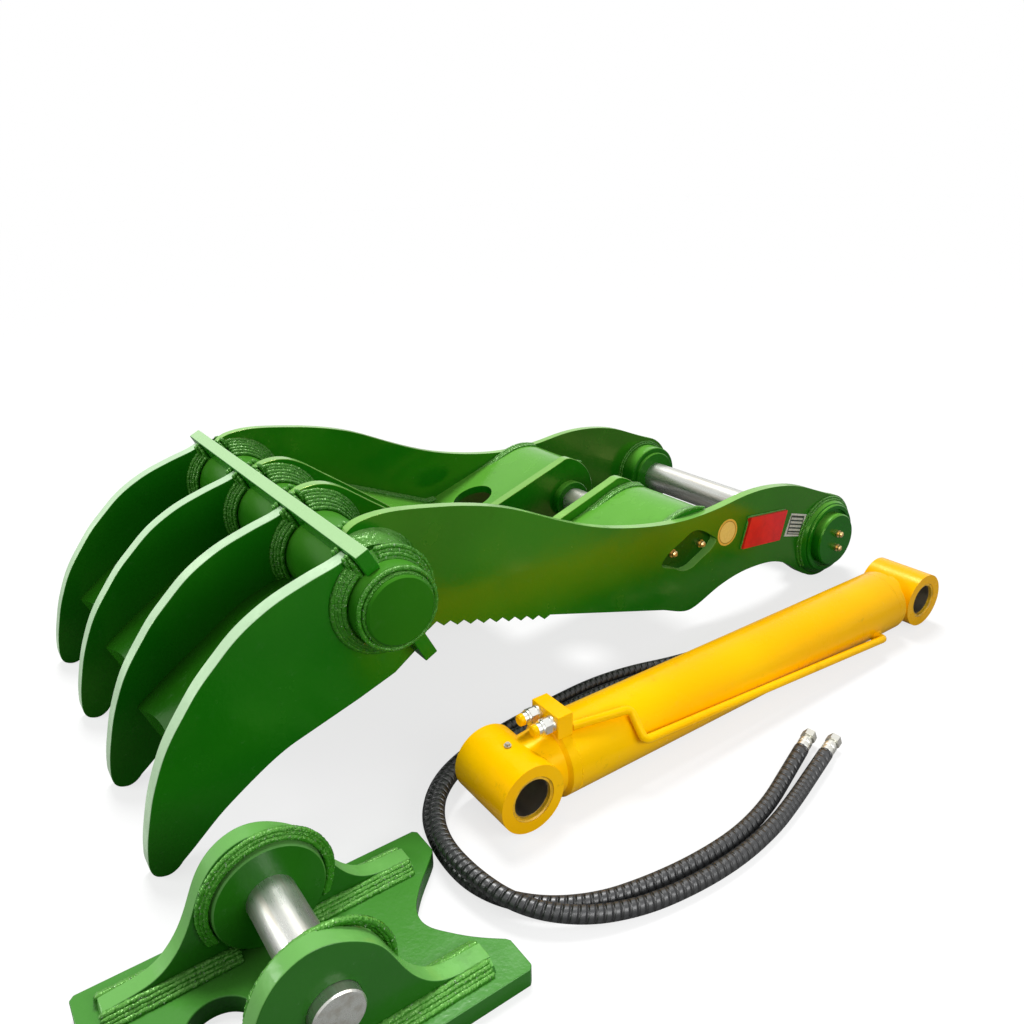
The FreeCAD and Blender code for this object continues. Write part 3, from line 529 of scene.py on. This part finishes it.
# A hose that lies on the floor has its middle this high, in millimetres.
LOW = HOSE_RADIUS * 1000
OUTER_ROUTE = [(792, -458, 18), (706, -450, 18), (618, -432, LOW), (520, -402, LOW), (425, -390, LOW),
               (330, -395, LOW), (235, -405, LOW), (130, -420, LOW), (42, -454, LOW), (-22, -520, LOW),
               (-45, -608, LOW), (-40, -696, LOW), (6, -766, LOW), (78, -812, LOW), (160, -832, LOW),
               (248, -842, LOW), (338, -841, LOW), (424, -823, LOW), (500, -797, 18), (573, -770, 18)]
INNER_ROUTE = [(676, -479, 18), (596, -464, 18), (514, -434, LOW), (424, -420, LOW), (332, -424, LOW),
               (240, -434, LOW), (148, -448, 22), (62, -472, 35), (-10, -528, 39.5), (-46, -606, 39.5),
               (-46, -690, 39.5), (-22, -770, 33), (40, -825, 22), (120, -855, 14), (208, -869, LOW),
               (298, -872, LOW), (388, -861, LOW), (460, -843, 15), (528, -823, 18), (595, -802, 18)]
print("the routes have", len(OUTER_ROUTE), "and", len(INNER_ROUTE), "corners")


# %% Lay the hoses
def lay_hose(name, route):
    points = [Vector(corner) / 1000 - ORIGIN for corner in route]
    curve = bpy.data.curves.new(name + "_tube", "CURVE")
    curve.dimensions = "3D"
    curve.bevel_depth = HOSE_RADIUS
    curve.bevel_resolution = 5
    curve.resolution_u = 20
    curve.use_fill_caps = True
    line = curve.splines.new("NURBS")
    line.points.add(len(points) - 1)
    for place, point in zip(line.points, points):
        place.co = (*point, 1.0)
    line.order_u = 3
    line.use_endpoint_u = True
    hose = bpy.data.objects.new(name + "_tube", curve)
    bpy.context.scene.collection.objects.link(hose)
    curve.materials.append(hose_rubber)
    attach(hose, "kit")
    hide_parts(name)
    print(name, "is", round(line.calc_length(), 3), "m long")
    return hose


lay_hose("hose_outer", OUTER_ROUTE)
lay_hose("hose_inner", INNER_ROUTE)

# %% [markdown]
# ## Weld beads
# A bead is laid drop by drop, and each drop freezes as a small scale over the last one. So one
# scale is modelled, repeated along a line with an Array modifier and bent along the seam with a
# Curve modifier. Its corners are then shifted a little at random, because no two drops are alike. A
# thick seam is several such passes side by side. The seams' places come from the frame's own pieces.


# %% One pass of weld
SCALE_PITCH = 0.0042
SCALE_REACH = 0.0072
SCALE_LEAN = math.radians(14)
SCALE_SHIFT = 0.0005


def seam_pass(name, points, width, closed=False):
    """A row of frozen scales along points, as one mesh that stays where it is."""
    path_data = bpy.data.curves.new("seam_path", "CURVE")
    path_data.dimensions = "3D"
    track = path_data.splines.new("POLY")
    track.points.add(len(points) - 1)
    for spot, point in zip(track.points, points):
        spot.co = (*point, 1.0)
    track.use_cyclic_u = closed
    seam = bpy.data.objects.new("seam_path", path_data)
    bpy.context.scene.collection.objects.link(seam)
    length = track.calc_length()
    bpy.ops.object.select_all(action="DESELECT")
    bpy.ops.mesh.primitive_uv_sphere_add(segments=7, ring_count=4, radius=1.0)
    scale = bpy.context.object
    scale.name = name
    bpy.ops.object.mode_set(mode="EDIT")
    bpy.ops.mesh.select_all(action="SELECT")
    bpy.ops.transform.rotate(value=math.radians(90), orient_axis="Y", center_override=(0, 0, 0))
    bpy.ops.transform.resize(value=(SCALE_REACH, width / 2, width / 2.6),
                             center_override=(0, 0, 0))
    bpy.ops.transform.rotate(value=SCALE_LEAN, orient_axis="Y", center_override=(0, 0, 0))
    bpy.ops.object.mode_set(mode="OBJECT")
    row = scale.modifiers.new("row", "ARRAY")
    row.use_relative_offset = False
    row.use_constant_offset = True
    row.constant_offset_displace = (SCALE_PITCH, 0.0, 0.0)
    row.count = max(2, int(length / SCALE_PITCH))
    bend = scale.modifiers.new("bend", "CURVE")
    bend.object = seam
    bpy.ops.object.modifier_apply(modifier="row")
    bpy.ops.object.modifier_apply(modifier="bend")
    bpy.ops.object.mode_set(mode="EDIT")
    bpy.ops.mesh.select_all(action="SELECT")
    bpy.ops.transform.vertex_random(offset=SCALE_SHIFT, uniform=0.4, normal=0.6, seed=7)
    bpy.ops.object.mode_set(mode="OBJECT")
    bpy.ops.object.shade_smooth()
    bpy.data.objects.remove(seam)
    return scale


def seam_group(name, passes, finish, width, closed=False):
    """All the passes of one seam, joined into one piece."""
    made = [seam_pass("%s_%d" % (name, number), points, width, closed)
            for number, points in enumerate(passes) if len(points) > 1]
    bpy.ops.object.select_all(action="DESELECT")
    for piece in made:
        piece.select_set(True)
    bpy.context.view_layer.objects.active = made[0]
    if len(made) > 1:
        bpy.ops.object.join()
    piece = bpy.context.object
    piece.name = name
    piece.data.materials.clear()
    piece.data.materials.append(finish)
    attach(piece, "kit")
    print(name, len(piece.data.polygons), "faces")
    return piece


# %% Lines for the beads to follow
def ring(centre, y, radius, start=0.0, turn=360.0, steps=72):
    """Points round an axis along Y; the angle counts from +X towards +Z, in degrees."""
    angles = [math.radians(start + turn * step / steps) for step in range(steps + 1)]
    return [Vector((centre[0] + radius * math.cos(angle), y, centre[1] + radius * math.sin(angle)))
            for angle in angles]


def hoop(centre, x, radius, start, turn, steps=60):
    """Points round an axis along X; the angle counts from +Y towards +Z, in degrees."""
    angles = [math.radians(start + turn * step / steps) for step in range(steps + 1)]
    return [Vector((x, centre[0] + radius * math.cos(angle), centre[1] + radius * math.sin(angle)))
            for angle in angles]


def straight(start, end, steps):
    """Points on the straight line from start to end."""
    return [Vector([a + (b - a) * step / steps for a, b in zip(start, end)])
            for step in range(steps + 1)]


def axis_of(node):
    """The x and z of the axis of a round piece that lies along Y."""
    low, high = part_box(node)
    return (low.x + high.x) / 2, (low.z + high.z) / 2


def face_of(node, outward):
    """The y of a piece's near face, for -1, or of its far face, for 1."""
    low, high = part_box(node)
    return low.y if outward < 0 else high.y


print("the cross tube's axis is at", axis_of("cross_tube"))

# %% [markdown]
# ## Seams round the cross tube
# The outermost fingers are welded to the tube on their outer sides, and a cap closes each end of
# the tube. A bead as broad as this one takes three passes, each further out and closer to the tube
# than the one before. A ring breaks off at the two bars, which lie across the fingers.

# %% Weld the tube
tube_axis = axis_of("cross_tube")
LEFT_OF_BAR = 128
RIGHT_OF_BAR = -52
BAR_TO_BAR = 150
TUBE_BEAD = ((0.001, 0.087), (0.004, 0.081), (0.008, 0.076))
CAP_RADIUS = 0.0585
LIP_RADIUS = 0.0665
END_GAP = 0.001
tube_passes = []
for finger, outward in (("finger_4", -1), ("finger_1", 1)):
    face = face_of(finger, outward)
    for out, radius in TUBE_BEAD:
        for start in (LEFT_OF_BAR, RIGHT_OF_BAR):
            tube_passes.append(ring(tube_axis, face + outward * out, radius, start, BAR_TO_BAR))
    end = face_of("cross_tube", outward)
    tube_passes.append(ring(tube_axis, end + outward * END_GAP, CAP_RADIUS))
    tube_passes.append(ring(tube_axis, end - outward * END_GAP, LIP_RADIUS))
seam_group("tube_seams", tube_passes, weld_green, 0.010)

# %% [markdown]
# ## Fillets where the plates stand on the tube
# The fingers on one side and the thumb's plates on the other meet the tube in broad hollow fillets
# that show every pass. A short bead also runs down each plate beside the leaning bar. The rows are
# pairs of a distance out from the plate and a radius, so the fillet's hollow can be read from them.

# %% Weld the plates to the tube and the bar
LEFT_FILLET = ((0.001, 0.089), (0.004, 0.084), (0.008, 0.080), (0.013, 0.075))
RIGHT_FILLET = ((0.001, 0.098), (0.005, 0.093), (0.010, 0.088), (0.015, 0.083), (0.021, 0.078),
                (0.027, 0.073))
BAR_LEAN = math.radians(26.57)
bar_way = Vector((-math.sin(BAR_LEAN), 0.0, math.cos(BAR_LEAN)))
bar_side = Vector((math.cos(BAR_LEAN), 0.0, math.sin(BAR_LEAN)))
hub = Vector((tube_axis[0], 0.0, tube_axis[1]))
BAR_LEFT_SIDE = -0.012
BAR_RIGHT_SIDE = 0.020
BAR_BEAD = ((0.003, 1.0), (0.009, 1.0), (0.004, 1.5), (0.014, 1.0))
BAR_BEAD_TOP = 0.104
BAR_BEAD_FOOT = 0.060


def fillets_at(node, outward, left_of_bar):
    """The passes on one face of a plate: round the tube, then down along the bar."""
    face = face_of(node, outward)
    start = LEFT_OF_BAR if left_of_bar else RIGHT_OF_BAR
    passes = [ring(tube_axis, face + outward * out, radius, start, BAR_TO_BAR)
              for out, radius in (LEFT_FILLET if left_of_bar else RIGHT_FILLET)]
    beside = bar_side * (BAR_LEFT_SIDE if left_of_bar else BAR_RIGHT_SIDE)
    for out, aside in BAR_BEAD:
        top = hub + bar_way * (BAR_BEAD_TOP - out) + beside * aside
        foot = hub + bar_way * BAR_BEAD_FOOT + beside * aside
        y = face + outward * out
        passes.append(straight((top.x, y, top.z), (foot.x, y, foot.z), 8))
    return passes


fillet_passes = []
for node, outward in (("finger_4", -1), ("finger_4", 1), ("finger_3", -1), ("finger_3", 1),
                      ("finger_2", -1), ("finger_2", 1), ("finger_1", -1)):
    fillet_passes += fillets_at(node, outward, True)
for node, outward in (("side_plate_near", 1), ("inner_plate_near", -1), ("inner_plate_near", 1),
                      ("inner_plate_far", -1), ("inner_plate_far", 1), ("side_plate_far", -1)):
    fillet_passes += fillets_at(node, outward, False)
seam_group("plate_fillets", fillet_passes, weld_green, 0.0125)

# %% [markdown]
# ## Seams of the pin bosses and the base eye
# The bosses of the main pin are welded to the side plates: outside from the front over the top and
# down behind, and inside all the way round. The base eye's neck is welded to the barrel and sprayed
# over in yellow, so its bead takes the cylinder's finish.

# %% Weld the bosses
BOSS_OUTSIDE = ((0.001, 0.098), (0.005, 0.093))
BOSS_OUTSIDE_TURN = 220
BOSS_INSIDE = ((0.001, 0.092), (0.004, 0.087))
boss_axis = axis_of("main_boss_near")
boss_passes = []
for plate, outward in (("side_plate_near", -1), ("side_plate_far", 1)):
    outer = face_of(plate, outward)
    inner = face_of(plate, -outward)
    for out, radius in BOSS_OUTSIDE:
        boss_passes.append(ring(boss_axis, outer + outward * out, radius, 0, BOSS_OUTSIDE_TURN))
    for out, radius in BOSS_INSIDE:
        boss_passes.append(ring(boss_axis, inner - outward * out, radius))
seam_group("boss_seams", boss_passes, weld_green, 0.0085)

# %% Weld the base eye's neck to the barrel
NECK_BEAD = ((0.001, 0.0628), (-0.004, 0.0600))
NECK_START = -35
NECK_TURN = 250
barrel_low, barrel_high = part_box("barrel")
barrel_axis = ((barrel_low.y + barrel_high.y) / 2, (barrel_low.z + barrel_high.z) / 2)
neck_passes = [hoop(barrel_axis, barrel_low.x + inset, radius, NECK_START, NECK_TURN)
               for inset, radius in NECK_BEAD]
seam_group("neck_seam", neck_passes, cylinder_yellow, 0.0065)

# %% [markdown]
# ## Bead round the red plate
# The red plate is tacked to the side plate all round with one thin bead. Its four corners are
# joined by straight lines, with the last corner led back to the first.

# %% Weld the red plate
PLATE_CORNERS = ((0.542, 0.223), (0.668, 0.211), (0.649, 0.141), (0.520, 0.153))
PLATE_BEAD_SINK = 0.0015
PLATE_BEAD_STEPS = 10
bead_y = face_of("name_plate_blank", 1) - PLATE_BEAD_SINK
corners = [Vector((x, bead_y, z)) for x, z in PLATE_CORNERS]
name_pass = []
for corner, following in zip(corners, corners[1:] + corners[:1]):
    name_pass += [corner.lerp(following, step / PLATE_BEAD_STEPS) for step in range(PLATE_BEAD_STEPS)]
seam_group("name_plate_seam", [name_pass], weld_green, 0.005)

# %% [markdown]
# ## Seams of the bracket
# Each ear stands on the base plate in a seam of four passes on both sides. Between the ears the
# seam stops at the discs that stiffen the pin's holes, and the discs have a bead of their own that
# runs over their top.

# %% Weld the bracket
FOOT_START = 0.004
FOOT_END = 0.410
DISC_START = 0.165
DISC_END = 0.254
FOOT_BEAD = ((0.0025, 0.012), (0.0065, 0.0085), (0.010, 0.0045), (0.0145, 0.0015))
DISC_BEAD = ((0.0015, 0.088), (0.004, 0.084), (0.007, 0.080))
DISC_BEAD_FROM = -28
DISC_BEAD_TURN = 236
INNER_FACES = (("bracket_ear_near", 1), ("bracket_ear_far", -1))
ear_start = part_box("bracket_ear_near")[0].x
base_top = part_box("bracket_base")[1].z
pin_axis = axis_of("bracket_pin")
foot_passes = []
for ear, outward in (("bracket_ear_near", -1), ("bracket_ear_near", 1),
                     ("bracket_ear_far", -1), ("bracket_ear_far", 1)):
    spans = ((FOOT_START, FOOT_END),)
    if (ear, outward) in INNER_FACES:
        spans = ((FOOT_START, DISC_START), (DISC_END, FOOT_END))
    for begin, end in spans:
        for out, height in FOOT_BEAD:
            y = face_of(ear, outward) + outward * out
            z = base_top + height
            foot_passes.append(straight((ear_start + begin, y, z), (ear_start + end, y, z), 24))
for ear, inward in INNER_FACES:
    for out, radius in DISC_BEAD:
        foot_passes.append(ring(pin_axis, face_of(ear, inward) + inward * out, radius,
                                DISC_BEAD_FROM, DISC_BEAD_TURN))
seam_group("bracket_seams", foot_passes, weld_green, 0.0100)

# %% [markdown]
# ## Seams along the covers
# The covers between the plates follow a curved outline, so their beads can't be written as a line
# and an arc. The outline is read from the piece's own corners: of those near the side plate, the
# highest in each short column is kept.


# %% Weld the covers
COLUMN = 0.012
COVER_BEAD = ((0.0015, 0.004), (0.007, 0.002), (0.0125, 0.001))


def top_line(node, y, reach=0.003):
    """The upper outline of a piece beside a plane across Y, from its own corners."""
    near = [v.co for v in nodes[node].data.vertices if abs(v.co.y - y) < reach]
    highest = {}
    for corner in near:
        column = round(corner.x / COLUMN)
        if column not in highest or corner.z > highest[column].z:
            highest[column] = corner
    return [highest[column].copy() for column in sorted(highest)]


cover_passes = []
for cover in ("cover_near", "cover_far"):
    for side in (1, -1):
        edge = face_of(cover, side)
        outline = top_line(cover, edge)
        for inset, lift in COVER_BEAD:
            cover_passes.append([Vector((p.x, edge - side * inset, p.z + lift)) for p in outline])
seam_group("cover_seams", cover_passes, weld_green, 0.0095)

# %% [markdown]
# ## Light, floor and view
# The picture has a white ground and a light from above: tops are bright and upright faces deep
# green. One broad sun stands almost overhead and the sky adds a little. A lamp low in front shows
# the cylinder's flank, and one at the left runs along the fingers' cut edges. The floor is darker
# than it looks: it is lifted to white for the camera alone, so it doesn't wash the plates from
# below, and it keeps the shadows.

# %% Floor
bpy.ops.object.select_all(action="DESELECT")
bpy.ops.mesh.primitive_plane_add(size=60.0, location=(0.0, 0.0, -0.0005))
floor = bpy.context.object
floor.name = "floor"
ground = Finish("floor_white", Specular_IOR_Level=0.0)
seen = ground.node("ShaderNodeLightPath", output="Is Camera Ray")
gloss = ground.node("ShaderNodeLightPath", output="Is Glossy Ray")
FLOOR_TONE = 0.26
FLOOR_IN_GLOSS = 0.02
ground.shader.inputs["Base Color"].default_value = (FLOOR_TONE, FLOOR_TONE, FLOOR_TONE, 1.0)
ground.shader.inputs["Roughness"].default_value = 1.0
ground.shader.inputs["Emission Color"].default_value = (1.0, 1.0, 1.0, 1.0)
lift = seen * (1.0 - FLOOR_TONE) + gloss * FLOOR_IN_GLOSS
ground.tree.links.new(lift.socket, ground.shader.inputs["Emission Strength"])
floor.data.materials.append(ground.material)
floor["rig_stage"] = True

# %% Sky and sun
world = bpy.context.scene.world or bpy.data.worlds.new("sky")
bpy.context.scene.world = world
world.use_nodes = True
sky = world.node_tree
background = sky.nodes["Background"]
background.inputs["Color"].default_value = (1.0, 1.0, 1.0, 1.0)
path = sky.nodes.new("ShaderNodeLightPath")
SKY = 0.26
either = sky.nodes.new("ShaderNodeMath")
either.operation = "MAXIMUM"
sky.links.new(path.outputs["Is Camera Ray"], either.inputs[0])
sky.links.new(path.outputs["Is Glossy Ray"], either.inputs[1])
level = sky.nodes.new("ShaderNodeMath")
level.operation = "MULTIPLY_ADD"
level.inputs[1].default_value = 1.0 - SKY
level.inputs[2].default_value = SKY
sky.links.new(either.outputs[0], level.inputs[0])
sky.links.new(level.outputs[0], background.inputs["Strength"])

SUN_TILT = math.radians(24)
bpy.ops.object.light_add(type="SUN", location=(0.0, 0.0, 4.0))
sun = bpy.context.object
sun.name = "sun"
sun.data.angle = math.radians(20)
sun.data.energy = math.pi * (1.0 - SKY) / math.cos(SUN_TILT)
toward_sun = Vector((math.sin(SUN_TILT) * 0.5, math.sin(SUN_TILT) * 0.87, math.cos(SUN_TILT)))
sun.rotation_euler = toward_sun.to_track_quat("Z", "Y").to_euler()
sun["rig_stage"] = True

# %% Two soft lamps: low in front of the cylinder, and at the left for the fingers' cut edges
def soft_lamp(name, place, target, size, energy):
    bpy.ops.object.light_add(type="AREA", location=place)
    lamp = bpy.context.object
    lamp.name = name
    lamp.data.shape = "RECTANGLE"
    lamp.data.size, lamp.data.size_y = size
    lamp.data.energy = energy
    toward = lamp.location - Vector(target)
    lamp.rotation_euler = toward.to_track_quat("Z", "Y").to_euler()
    lamp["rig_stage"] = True


soft_lamp("front_lamp", (-0.05, -1.55, 0.75), (0.15, -0.38, 0.07), (1.1, 0.5), 11.0)
soft_lamp("left_lamp", (-3.0, 0.8, 1.4), (-0.6, 0.0, 0.25), (1.6, 0.9), 36.0)

# %% Camera
CAMERA_AT = Vector((-0.90687, -1.29305, 0.94042))
CAMERA_YAW = math.radians(34.65)
CAMERA_PITCH = math.radians(21.18)
CAMERA_ROLL = math.radians(-1.55)
ahead = Vector((math.sin(CAMERA_YAW) * math.cos(CAMERA_PITCH),
                math.cos(CAMERA_YAW) * math.cos(CAMERA_PITCH), -math.sin(CAMERA_PITCH)))
level_right = Vector((math.cos(CAMERA_YAW), -math.sin(CAMERA_YAW), 0.0))
level_up = level_right.cross(ahead)
right = level_right * math.cos(CAMERA_ROLL) + level_up * math.sin(CAMERA_ROLL)
up = level_up * math.cos(CAMERA_ROLL) - level_right * math.sin(CAMERA_ROLL)
turn = Matrix((right, up, -ahead)).transposed().to_4x4()
bpy.ops.object.camera_add()
camera = bpy.context.object
camera.name = "camera"
camera.matrix_world = Matrix.Translation(CAMERA_AT) @ turn
camera.data.sensor_width = 36.0
camera.data.lens = 30.14
camera.data.clip_end = 200.0
bpy.context.scene.camera = camera
bpy.context.scene.view_settings.view_transform = "Standard"
camera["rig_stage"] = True


# %% Finish
def numbers(value):
    if isinstance(value, (list, tuple, Vector)):
        return [numbers(part) for part in value]
    return float(value)


{"before": numbers(bounds_before), "after": numbers(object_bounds())}
